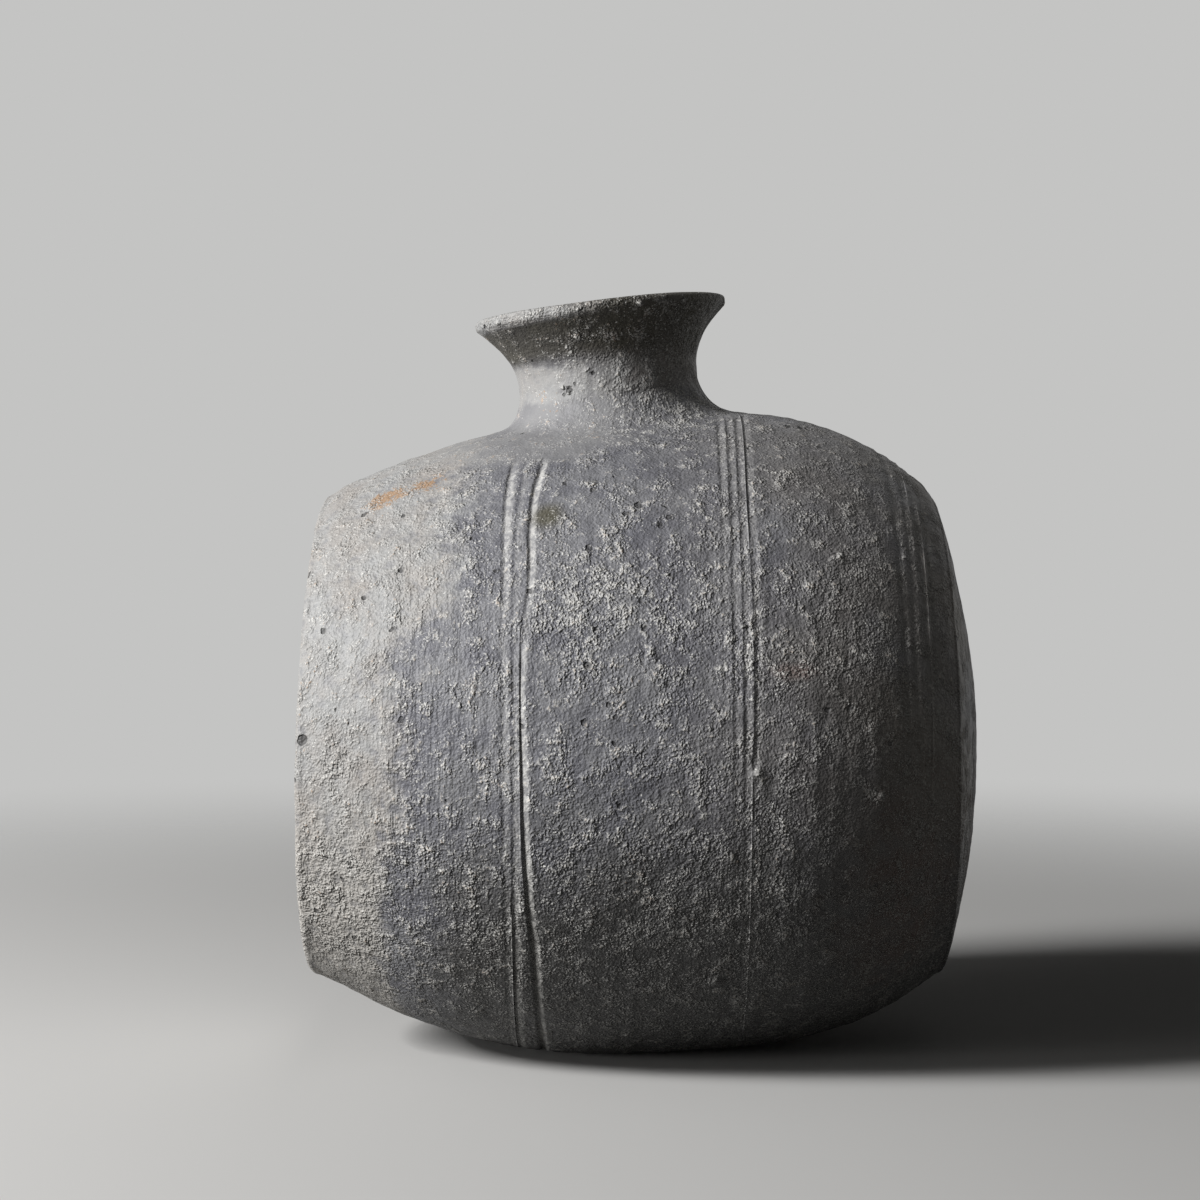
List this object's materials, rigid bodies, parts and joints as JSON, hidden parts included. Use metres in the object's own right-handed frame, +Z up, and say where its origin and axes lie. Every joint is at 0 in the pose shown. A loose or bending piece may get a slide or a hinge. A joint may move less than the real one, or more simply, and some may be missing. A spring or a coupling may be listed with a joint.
{
  "type": "barrel-shaped jar",
  "caption": "Unglazed grey stoneware jar shaped as a barrel lying on its side, flat at one end and domed at the other, with a flaring neck on top and incised bands round its wall.",
  "frame": {"origin": "the middle of the jar's footprint, on the surface that its belly rests on", "axes": "+Z up; +X along the barrel from the flat base disc to the domed cap; +Y towards the back as pictured"},
  "size_m": [0.2003, 0.194, 0.2287],
  "materials": {
    "ash_stoneware": "unglazed, matt, paled by ash",
    "grey_stoneware": "unglazed, matt, gritty",
    "brown_stoneware": "unglazed, matt, flashed brown"
  },
  "bodies": {
    "root": {"base_disc": "ash_stoneware", "barrel_wall": "grey_stoneware", "closing_cap": "brown_stoneware", "base_luting_coil": "grey_stoneware", "neck": "grey_stoneware", "neck_luting_collar": "grey_stoneware"}
  },
  "joints": []
}
